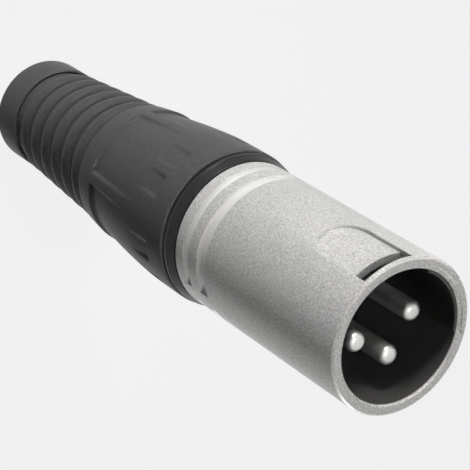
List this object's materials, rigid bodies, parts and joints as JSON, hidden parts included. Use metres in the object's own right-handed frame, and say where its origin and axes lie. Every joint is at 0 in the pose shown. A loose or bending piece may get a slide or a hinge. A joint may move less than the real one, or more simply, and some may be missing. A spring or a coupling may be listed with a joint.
{
  "type": "xlr plug",
  "caption": "Male cable plug for audio: round metal shell with a latch window, contact pins on a keyed insulator, screw bushing with a ribbed soft boot, and a cable clamp inside.",
  "frame": {"origin": "centre of the rear face of the boot, on which the plug stands", "axes": "+Z along the plug's axis towards the open mouth, -Y towards the latch window, pins 1 and 2 on the X axis"},
  "size_m": [0.0204, 0.0204, 0.0807],
  "materials": {
    "soft_rubber": "matte",
    "black_plastic": "satin",
    "pale_plastic": "satin",
    "nickel_shell": "satin",
    "insulator": "satin",
    "contact": "polished"
  },
  "bodies": {
    "boot": {"boot": "soft_rubber", "bushing": "black_plastic"},
    "clamp": {"cable_clamp": "pale_plastic"},
    "shell": {"shell": "nickel_shell", "insert": "insulator", "pin_1": "contact", "pin_2": "contact", "pin_3": "contact", "ground_contact": "contact"}
  },
  "joints": [
    {"name": "boot_turn", "type": "hinge", "parent": "boot", "child": "clamp", "pos_m": [0, 0, 0.0494], "axis": [0, 0, 1], "range_deg": [0, 2160]},
    {"name": "shell_lift", "type": "slide", "parent": "clamp", "child": "shell", "axis": [0, 0, 1], "range_m": [0, 0.006]}
  ],
  "couplings": [
    {"joint": "shell_lift", "follows": "boot_turn", "m_per_rad": 0.000159}
  ]
}
